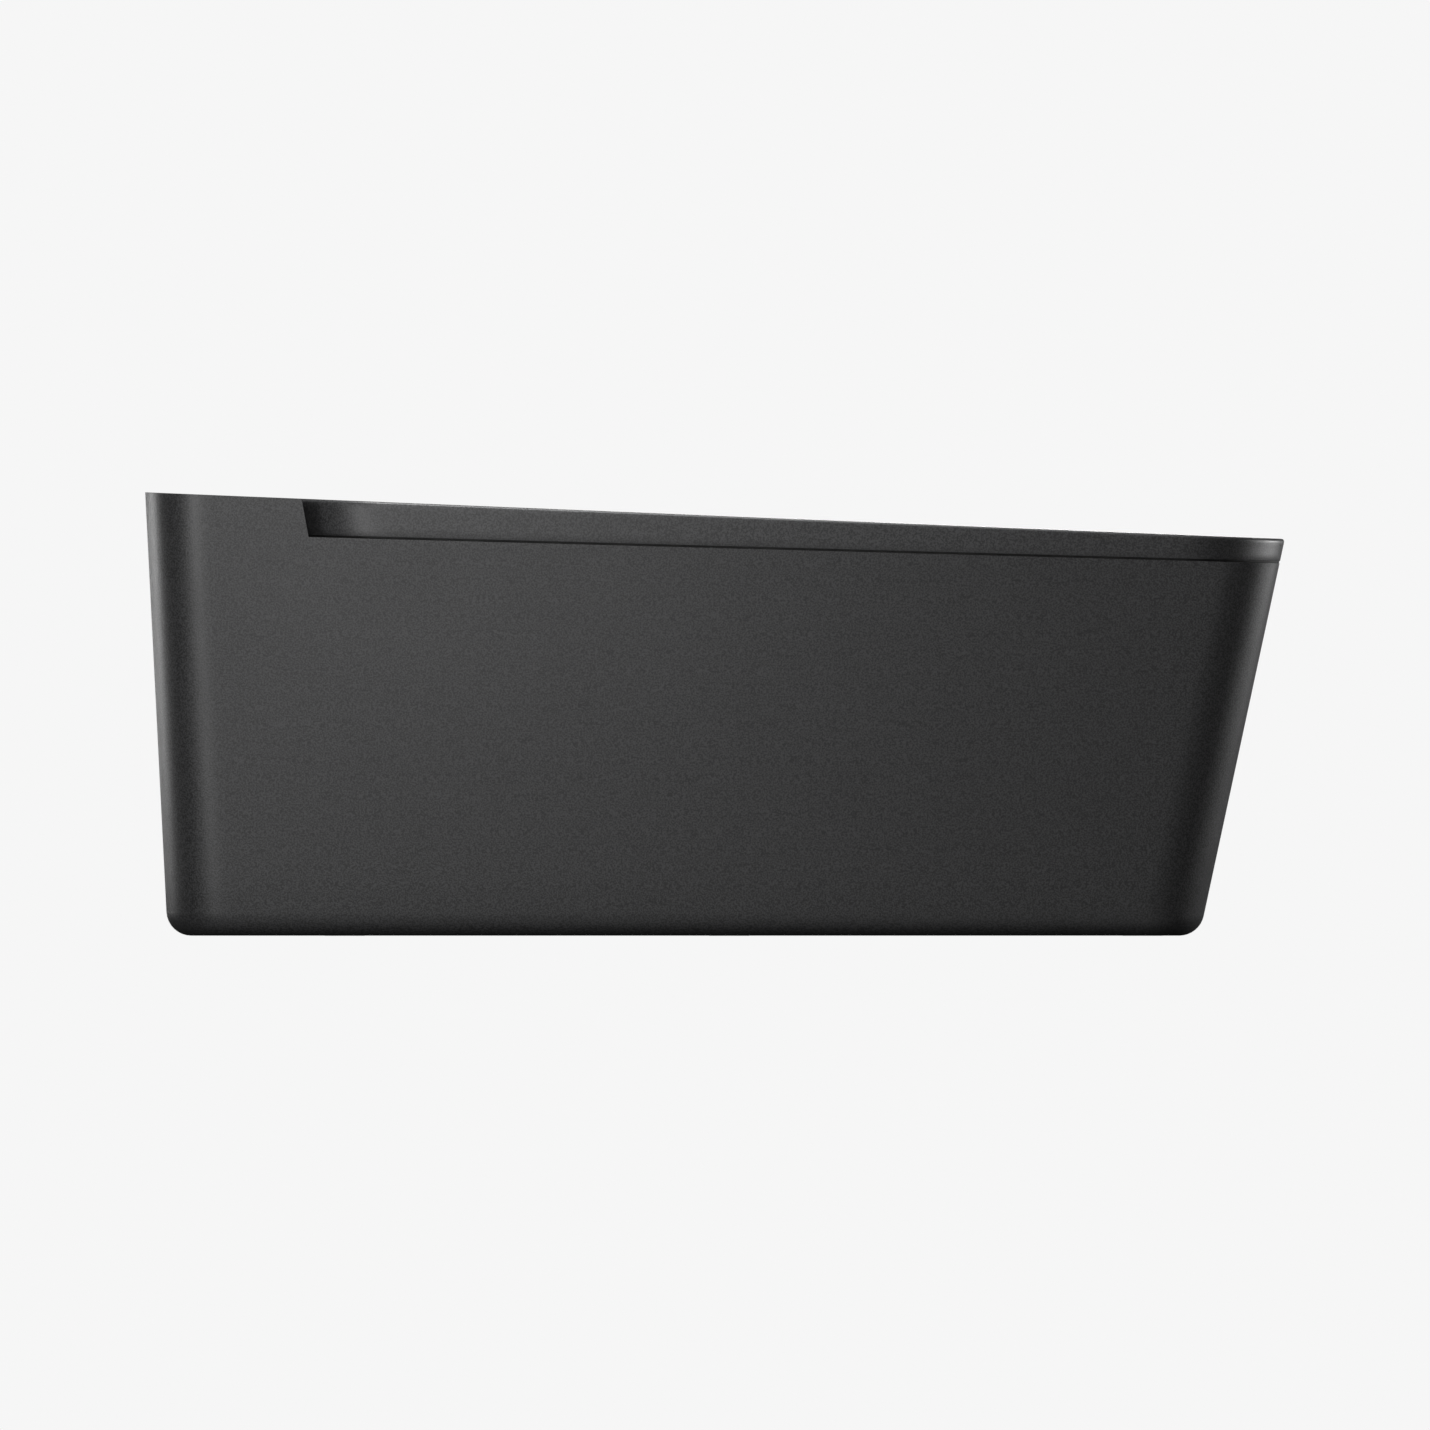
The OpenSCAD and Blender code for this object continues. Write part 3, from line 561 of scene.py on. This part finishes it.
def moulded_plastic(name, dark, light, roughness):
    """Injection-moulded fittings: a spark-eroded texture, flow marks and a waxy sheen."""
    surface = Surface(name, roughness, Specular_IOR_Level=0.45)
    texture = surface.noise(0.0009, detail=3.0)
    flow = surface.noise(0.05, detail=3.0, place=surface.stretched(0.4, 0.4, 1))
    surface.paint(
        surface.blend(surface.spread(flow, 0, 1), dark, light),
        surface.spread(texture, roughness - 0.07, roughness + 0.08),
    )
    surface.relief(texture, 0.00008)
    return surface.material


def pale_floor():
    """A pale studio floor with a hardly visible mottle."""
    surface = Surface("studio_floor", 0.9, Specular_IOR_Level=0.1, Emission_Strength=FLOOR_GLOW)
    mottle = surface.noise(0.4, detail=4.0)
    surface.paint(surface.blend(surface.spread(mottle, 0, 1), (0.15, 0.15, 0.15), (0.165, 0.165, 0.165)))
    surface.shader.inputs["Emission Color"].default_value = (1, 1, 1, 1)
    return surface.material


CHARCOAL = (0.036, 0.036, 0.037)
RUBBED = 1.5
GRAIN_SIZE = 0.0022
GRAIN_DEPTH = 0.0002
SPECKLE = 0.48
FLOOR_GLOW = 0.72
MATERIALS = {
    "shell_acrylic": moulded_charcoal("shell_acrylic_matt"),
    "basin_acrylic": moulded_charcoal("basin_acrylic_matt"),
    "seal_rubber": seal_rubber(),
    "board_wood": plywood(),
    "cradle_steel": powder_coat(),
    "hardware_steel": zinc_plate(),
    "trim_black": satin_black(),
    "pipe_plastic": moulded_plastic("pipe_plastic", (0.26, 0.27, 0.29), (0.34, 0.35, 0.37), 0.42),
    "fitting_plastic": moulded_plastic("fitting_plastic", (0.03, 0.03, 0.031), (0.05, 0.05, 0.051), 0.5),
}


# ---- The outer shell ----

FILLET_STEPS = 8
WALL_STEPS = 10
RISE_STEPS = 3
LEDGE_STEPS = 3
NEAR_PLANE = 1e-4
SHELL_SAME_POINT = 1e-5
SHELL_EDGE_R = 0.0045
SHELL_EDGE_STEPS = 5
NOTCH_EDGE_SHARE = 0.5
LEDGE_EDGE_SHARE = 0.12
HOLE_EDGE_SHARE = 0.2


def riser_columns():
    """The deck's inner wall, which follows the rim band round the head end, from back to front."""
    outline = BAND.inset(-SHADOW_GAP)
    centre_x = outline.radius - outline.head[0]
    spread = math.asin((centre_x - NOTCH_LINE[0]) / outline.radius)
    count = CORNER_STEPS + HEAD_SIDE_STEPS
    columns = corner_columns(outline, -1, 1, QUARTER + spread, 2 * QUARTER, count)
    back_end = outline.corner(-1, 1, 2 * QUARTER)
    front_start = outline.corner(-1, -1, 2 * QUARTER)
    columns += columns_between(back_end, front_start, END_STEPS)
    columns += corner_columns(outline, -1, -1, 2 * QUARTER, 3 * QUARTER - spread, count)
    return columns + [outline.corner(-1, -1, 3 * QUARTER - spread)]


def risen(columns):
    """Rows of points up columns, from the ledge to the rim."""
    return [[c.on(LEDGE).lerp(c.on(RIM), i / RISE_STEPS) for c in columns] for i in range(RISE_STEPS + 1)]


def across(first, second, count):
    """Rows of points from one row to another."""
    return [[a.lerp(b, i / count) for a, b in zip(first, second)] for i in range(count + 1)]


def add_lower_shell(bm, columns):
    """The base flange, the round edge under the tub, and the walls up to the ledge."""
    walls = [(w[0] - BASE_FLANGE_W, 0) for w in (SHELL.head, SHELL.foot, SHELL.side)]
    opening = Form(*walls, BASE_OPENING_R)
    rows = [[c.at(FLOOR_GAP) for c in ring(opening, notched=True)]]
    for i in range(FILLET_STEPS):
        rows.append([c.rolled(BASE_EDGE_R, FLOOR_GAP, i / FILLET_STEPS) for c in columns])
    wall_foot = [c.rolled(BASE_EDGE_R, FLOOR_GAP, 1) for c in columns]
    rows += across(wall_foot, [c.on(LEDGE) for c in columns], WALL_STEPS)
    add_grid(bm, rows, closed=True)


def add_deck_and_ledge(bm, columns):
    """The raised head deck with its notch faces, and the ledge under the rim band."""
    front = HEAD_SIDE_STEPS
    back = front + 2 * SIDE_STEPS + 2 * CORNER_STEPS + END_STEPS
    outer = risen(columns[back:] + columns[: front + 1])
    inner = risen(riser_columns())
    add_grid(bm, outer)
    add_grid(bm, inner)
    add_grid(bm, across(outer[-1], inner[-1], DECK_STEPS))
    for end in (0, -1):
        add_grid(bm, across([row[end] for row in outer], [row[end] for row in inner], DECK_STEPS))
    edge = [c.on(LEDGE) for c in columns[front : back + 1]]
    edge += steps(outer[0][0], inner[0][0], DECK_STEPS)[1:] + inner[0]
    edge += steps(inner[0][-1], outer[0][-1], DECK_STEPS)[1:]
    opening = BAND.inset(LEDGE_W)
    add_grid(bm, across(edge, [opening.nearest(point) for point in edge], LEDGE_STEPS), closed=True)


def weigh_shell_edges(bm):
    """Sets how round each sharp edge of the shell is: the rim most, the ledge and the holes least."""
    weight = bm.edges.layers.float.new("bevel_weight_edge")
    for edge in bm.edges:
        if edge.is_boundary:
            edge[weight] = HOLE_EDGE_SHARE
        elif edge.calc_face_angle() > HARD_EDGE:
            middle = (edge.verts[0].co + edge.verts[1].co) / 2
            if abs(middle.z - RIM.z(middle.x)) < NEAR_PLANE:
                edge[weight] = 1.0
            elif abs(middle.z - LEDGE.z(middle.x)) < NEAR_PLANE:
                edge[weight] = LEDGE_EDGE_SHARE
            else:
                edge[weight] = NOTCH_EDGE_SHARE


def make_shell():
    """The outer skin, thickened inwards and rounded along its edges."""
    bm = bmesh.new()
    columns = ring(SHELL, notched=True)
    add_lower_shell(bm, columns)
    add_deck_and_ledge(bm, columns)
    bmesh.ops.remove_doubles(bm, verts=bm.verts, dist=SHELL_SAME_POINT)
    bmesh.ops.recalc_face_normals(bm, faces=bm.faces)
    if max(bm.faces, key=lambda face: face.calc_center_median().x).normal.x < 0:
        bmesh.ops.reverse_faces(bm, faces=bm.faces)
    weigh_shell_edges(bm)
    shell = piece_from(bm, "shell_skin", "tub", "outer_shell", MATERIALS["shell_acrylic"])
    add_modifier(
        shell,
        "SOLIDIFY",
        thickness=SKIN_T,
        offset=-1,
        use_even_offset=True,
        use_quality_normals=True,
    )
    add_modifier(
        shell,
        "BEVEL",
        width=SHELL_EDGE_R,
        segments=SHELL_EDGE_STEPS,
        limit_method="WEIGHT",
        harden_normals=True,
    )


# ---- The inner basin ----

BAND_FOOT = LEDGE.moved(SHADOW_GAP)
RIM_UNDER = RIM.moved(-SKIN_T)
BAND_FOOT_R = 0.001
RIM_EDGE_R = 0.0045
MOUTH_EDGE_R = 0.012

# How finely each stretch of the basin's section is divided
BAND_FOOT_STEPS = 2
BAND_STEPS = 4
RIM_EDGE_STEPS = 5
RIM_STEPS = 4
MOUTH_EDGE_STEPS = 6
BASIN_WALL_STEPS = 14
BASIN_EDGE_STEPS = 12
BASIN_FLOOR_STEPS = 9
BACK_FLOOR_STEPS = 4
BACK_EDGE_STEPS = 6
BACK_WALL_STEPS = 5
RIM_UNDER_STEPS = 2
SKIRT_STEPS = 3
CUTTER_L = 0.06
CUTTER_SIDES = 64


def basin_section(band, skirt, basin, back):
    """One upright cut through the basin's skin, once round from the band's lower edge."""
    low, rim, mouth = band.on(BAND_FOOT), band.on(RIM), basin.on(RIM)
    wall_foot = basin.rolled(BASIN_EDGE_R, BASIN_Z, 1)
    floor_edge = basin.rolled(BASIN_EDGE_R, BASIN_Z, 0)
    drain = WASTE.xy + (floor_edge.xy - WASTE.xy).normalized() * WASTE_HOLE_R
    drain_top = Vector((drain.x, drain.y, BASIN_Z))
    drain_foot = drain_top - Vector((0, 0, SKIN_T))
    back_edge_r = BASIN_EDGE_R + SKIN_T
    back_z = BASIN_Z - SKIN_T
    back_foot = back.rolled(back_edge_r, back_z, 1)
    points = rounded(low, skirt.on(BAND_FOOT), rim, BAND_FOOT_R, BAND_FOOT_STEPS)
    start = points[0]
    points += steps(points[-1], rim, BAND_STEPS)[1:]
    points += rounded(rim, low, mouth, RIM_EDGE_R, RIM_EDGE_STEPS)
    mouth_edge = rounded(mouth, rim, wall_foot, MOUTH_EDGE_R, MOUTH_EDGE_STEPS)
    points += steps(points[-1], mouth_edge[0], RIM_STEPS)[1:] + mouth_edge
    points += steps(mouth_edge[-1], wall_foot, BASIN_WALL_STEPS)[1:]
    for i in range(BASIN_EDGE_STEPS):
        points.append(basin.rolled(BASIN_EDGE_R, BASIN_Z, 1 - i / BASIN_EDGE_STEPS))
    points += steps(floor_edge, drain_top, BASIN_FLOOR_STEPS) + [drain_top]
    points += steps(drain_foot, back.rolled(back_edge_r, back_z, 0), BACK_FLOOR_STEPS)
    for i in range(BACK_EDGE_STEPS):
        points.append(back.rolled(back_edge_r, back_z, i / BACK_EDGE_STEPS))
    points += steps(back_foot, back.on(RIM_UNDER), BACK_WALL_STEPS)
    points += steps(back.on(RIM_UNDER), skirt.on(RIM_UNDER), RIM_UNDER_STEPS)
    points += steps(skirt.on(RIM_UNDER), start, SKIRT_STEPS)
    return points


def cut_overflow_hole(basin):
    """Takes the overflow's round hole out of the basin's foot wall."""
    bm = bmesh.new()
    bmesh.ops.create_cone(
        bm,
        cap_ends=True,
        segments=CUTTER_SIDES,
        radius1=OVERFLOW_HOLE_R,
        radius2=OVERFLOW_HOLE_R,
        depth=CUTTER_L,
    )
    bm.transform(OVERFLOW)
    combine(basin, bm, "DIFFERENCE")


def make_basin():
    """The inner skin: the rim band, the basin and the drain hole in one closed surface."""
    parts = zip(ring(BAND), ring(BAND.inset(SKIN_T)), ring(BASIN), ring(BASIN.inset(-SKIN_T)))
    sections = [basin_section(*columns) for columns in parts]
    rows = [list(row) for row in zip(*sections)]
    bm = bmesh.new()
    add_grid(bm, rows + rows[:1], closed=True)
    bmesh.ops.remove_doubles(bm, verts=bm.verts, dist=SAME_POINT)
    bmesh.ops.recalc_face_normals(bm, faces=bm.faces)
    basin = piece_from(bm, "basin_skin", "tub", "inner_basin", MATERIALS["basin_acrylic"])
    cut_overflow_hole(basin)


# ---- The seal between the rim band and the ledge ----

SEAL_RECESS = 0.0012
SEAL_BULGE = 0.0004
SEAL_W = 0.012

# The seal reaches this far into both neighbours, so that no light passes over or under it
SEAL_SQUEEZE = 0.0002
SEAL_LOW = LEDGE.moved(-SEAL_SQUEEZE)
SEAL_MIDDLE = LEDGE.moved(SHADOW_GAP / 2)
SEAL_HIGH = LEDGE.moved(SHADOW_GAP + SEAL_SQUEEZE)


def make_seal():
    """A rubber strip with a slightly swollen outer face, just behind the band's face."""
    face = ring(BAND.inset(SEAL_RECESS))
    swell = ring(BAND.inset(SEAL_RECESS - SEAL_BULGE))
    back = ring(BAND.inset(SEAL_RECESS + SEAL_W))
    rows = [
        [c.on(SEAL_LOW) for c in back],
        [c.on(SEAL_LOW) for c in face],
        [c.on(SEAL_MIDDLE) for c in swell],
        [c.on(SEAL_HIGH) for c in face],
        [c.on(SEAL_HIGH) for c in back],
    ]
    bm = bmesh.new()
    add_grid(bm, rows + rows[:1], closed=True)
    bmesh.ops.remove_doubles(bm, verts=bm.verts, dist=SAME_POINT)
    bmesh.ops.recalc_face_normals(bm, faces=bm.faces)
    seal = piece_from(bm, "seal_strip", "tub", "ledge_seal", MATERIALS["seal_rubber"])
    sharpen(seal)


# ---- The plug and the overflow's knob ----

# Outlines, each corner as (r, z, rounding radius); z is up from the plug's top and the overflow's face
PLUG_CORNERS = (
    (0, 0, 0),
    (0.0225, -0.0003, 0.0004),
    (0.0229, -0.0011, 0.0002),
    (0.0240, -0.0011, 0.0002),
    (0.0244, -0.0004, 0.0004),
    (0.0305, -0.0008, 0.0012),
    (0.0320, -0.0022, 0.0008),
    (0.0320, -0.0036, 0.0004),
    (0.0312, -0.0045, 0.0003),
    (0.0050, -0.0045, 0.0004),
)
KNOB_CORNERS = (
    (0, 0.0166, 0),
    (0.0043, 0.0166, 0),
    (0.0043, 0.0070, 0),
    (0.0290, 0.0070, 0.0006),
    (0.0310, 0.0085, 0.0010),
    (0.0310, 0.0150, 0.0016),
    (0.0290, 0.0178, 0.0018),
    (0.0245, 0.0180, 0.0004),
    (0.0240, 0.0172, 0.0004),
    (0.0138, 0.0172, 0.0012),
    (0.0128, 0.0250, 0.0012),
    (0.0110, 0.0260, 0.0020),
    (0, 0.0260, 0),
)
GRIP_HALF_L = 0.0265
GRIP_HALF_W = 0.0035
GRIP_Z = (0.0160, 0.0254)
GRIP_EDGE_R = 0.0020
GRIP_EDGE_STEPS = 5
STEM_R = 0.0050
STEM_END_EDGE_R = 0.0008


def make_plug():
    """A domed cap with a groove, on a round stem."""
    low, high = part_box("plug")
    stem_end = low.z - high.z
    corners = PLUG_CORNERS + ((STEM_R, stem_end, STEM_END_EDGE_R), (0, stem_end, 0))
    place = Matrix.Translation((WASTE.x, WASTE.y, high.z))
    plug = piece_from(turned(corners, place), "plug_cap", "plug", "plug", MATERIALS["trim_black"])
    sharpen(plug)


def grip_outline(inset, z, count=10):
    """A long outline with round ends, at a height, drawn in from the grip's sides."""
    radius = GRIP_HALF_W - inset
    points = []
    for side in (1, -1):
        centre = Vector((side * (GRIP_HALF_L - GRIP_HALF_W), 0, z))
        for i in range(count + 1):
            angle = (i / count - side / 2) * 2 * QUARTER
            points.append(centre + Vector((math.cos(angle), math.sin(angle), 0)) * radius)
    return points


def grip():
    """The bar that fingers turn: straight sides and a round upper edge."""
    rows = [grip_outline(0, GRIP_Z[0])]
    for i in range(GRIP_EDGE_STEPS + 1):
        angle = QUARTER * i / GRIP_EDGE_STEPS
        drop = GRIP_EDGE_R * (1 - math.sin(angle))
        rows.append(grip_outline(GRIP_EDGE_R * (1 - math.cos(angle)), GRIP_Z[1] - drop))
    bm = bmesh.new()
    add_grid(bm, rows, closed=True)
    bmesh.ops.contextual_create(bm, geom=[edge for edge in bm.edges if edge.is_boundary])
    bmesh.ops.recalc_face_normals(bm, faces=bm.faces)
    return bm


def make_knob():
    """A turned body with a finger grip across it."""
    body = turned(KNOB_CORNERS, Matrix.Identity(4))
    knob = piece_from(body, "knob_cap", "knob", "overflow_knob", MATERIALS["trim_black"])
    combine(knob, grip(), "UNION")
    knob.data.transform(OVERFLOW)


# ---- The carried-over CAD nodes ----

REPLACED = ("outer_shell", "inner_basin", "ledge_seal", "plug", "overflow_knob")
EDGE_BREAK = {
    "trim_black": 0.0008,
    "cradle_steel": 0.0012,
    "hardware_steel": 0.0004,
    "fitting_plastic": 0.0006,
    "pipe_plastic": 0.0006,
    "board_wood": 0.0010,
}
EDGE_BREAK_STEPS = 2
EDGE_BREAK_ANGLE = math.radians(40)
WELD_REACH = 1e-5


def dress_cad_nodes():
    """Gives each CAD node its slot's material, soft edges and smooth round faces."""
    slots = {part["node"]: part["material_slot"] for part in frame["record"]["subparts"]}
    for name, obj in frame["nodes"].items():
        if name in REPLACED:
            continue
        slot = slots[name]
        for place in obj.material_slots:
            place.material = MATERIALS[slot]
        if slot in EDGE_BREAK:
            add_modifier(obj, "WELD", merge_threshold=WELD_REACH)
            add_modifier(
                obj,
                "BEVEL",
                width=EDGE_BREAK[slot],
                segments=EDGE_BREAK_STEPS,
                angle_limit=EDGE_BREAK_ANGLE,
                harden_normals=True,
            )
            obj.data.shade_smooth()


# ---- Studio ----

FRAME_SHARE = 0.797
EYE_Z = 0.310
EYE_DISTANCE = 4
BACKGROUND = 0.922
GLOW = 0.45
GLOW_DIP = math.radians(35)
GLOW_WAY = (0, -math.cos(GLOW_DIP), -math.sin(GLOW_DIP))
GLOW_FALL = 5
DIM_LIGHT = 0.015
FLOOR_HALF_W = 45
FLOOR_STEPS = 8
MIDDLE = (0, 0, 0.35)


def make_camera():
    """Level and square to the long side, without perspective."""
    data = bpy.data.cameras.new("camera")
    data.type = "ORTHO"
    data.ortho_scale = 2 * HALF_L / FRAME_SHARE
    camera = bpy.data.objects.new("camera", data)
    camera.location = (0, -EYE_DISTANCE, EYE_Z)
    camera.rotation_euler = (QUARTER, 0, 0)
    bpy.context.scene.collection.objects.link(camera)
    bpy.context.scene.camera = camera


def make_world():
    """Seen directly it is the pale background; it lights the object dimly, most from the floor in front."""
    world = bpy.data.worlds.new("studio")
    world.use_nodes = True
    bpy.context.scene.world = world
    nodes, links = world.node_tree.nodes, world.node_tree.links

    def math_node(operation, value, *others):
        node = nodes.new("ShaderNodeMath")
        node.operation = operation
        links.new(value, node.inputs[0])
        for socket, number in zip(node.inputs[1:], others):
            socket.default_value = number
        return node.outputs["Value"]

    facing = nodes.new("ShaderNodeVectorMath")
    facing.operation = "DOT_PRODUCT"
    links.new(nodes.new("ShaderNodeTexCoord").outputs["Generated"], facing.inputs[0])
    facing.inputs[1].default_value = GLOW_WAY
    lobe = math_node("POWER", math_node("MAXIMUM", facing.outputs["Value"], 0), GLOW_FALL)
    dim = nodes["Background"]
    dim.inputs["Color"].default_value = (1, 1, 1, 1)
    links.new(math_node("MULTIPLY_ADD", lobe, GLOW, DIM_LIGHT), dim.inputs["Strength"])
    seen = nodes.new("ShaderNodeBackground")
    seen.inputs["Color"].default_value = (BACKGROUND, BACKGROUND, BACKGROUND, 1)
    mix = nodes.new("ShaderNodeMixShader")
    links.new(nodes.new("ShaderNodeLightPath").outputs["Is Camera Ray"], mix.inputs["Fac"])
    links.new(dim.outputs["Background"], mix.inputs[1])
    links.new(seen.outputs["Background"], mix.inputs[2])
    links.new(mix.outputs["Shader"], nodes["World Output"].inputs["Surface"])


def softbox(name, azimuth, elevation, distance, size, power):
    """A square soft light aimed at the tub's middle; azimuth 0 is the camera's side, 90 the foot end's."""
    data = bpy.data.lights.new(name, "AREA")
    data.size = size
    data.energy = power
    turn, rise = math.radians(azimuth), math.radians(elevation)
    way = Vector((math.sin(turn) * math.cos(rise), -math.cos(turn) * math.cos(rise), math.sin(rise)))
    light = bpy.data.objects.new(name, data)
    light.location = Vector(MIDDLE) + way * distance
    light.rotation_euler = way.to_track_quat("Z", "Y").to_euler()
    light.visible_camera = False
    bpy.context.scene.collection.objects.link(light)


# Each light's name, azimuth, elevation, distance, size and power
LIGHTS = (
    ("low_left", -35, -3, 3.0, 0.5, 15),
    ("low_front", -25, -3, 3.0, 0.5, 4),
    ("near_high", -15, 20, 2.2, 0.5, 7),
    ("near_low", -10, 0, 2.0, 0.5, 2),
    ("top", -30, 70, 3.0, 0.9, 100),
    ("head_back", -145, 0, 3.0, 0.5, 2),
    ("head_edge", -125, 0, 3.0, 0.5, 4),
    ("head_side", -110, 0, 3.0, 0.5, 12),
    ("foot_side", 95, 5, 3.0, 0.6, 15),
    ("foot_edge", 110, 5, 3.0, 0.6, 30),
    ("back", 165, 40, 3.0, 0.9, 60),
)


def make_floor():
    """A plain floor that is seen, and takes shadows, but throws no light up at the tub."""
    bm = bmesh.new()
    bmesh.ops.create_grid(bm, x_segments=FLOOR_STEPS, y_segments=FLOOR_STEPS, size=FLOOR_HALF_W)
    mesh = bpy.data.meshes.new("floor")
    bm.to_mesh(mesh)
    bm.free()
    mesh.materials.append(pale_floor())
    floor = bpy.data.objects.new("floor", mesh)
    floor.visible_diffuse = False
    floor.visible_glossy = False
    bpy.context.scene.collection.objects.link(floor)


make_camera()
make_world()
make_shell()
make_basin()
make_seal()
make_plug()
make_knob()
dress_cad_nodes()
make_floor()
for light in LIGHTS:
    softbox(*light)
bpy.context.scene.view_settings.view_transform = "Standard"
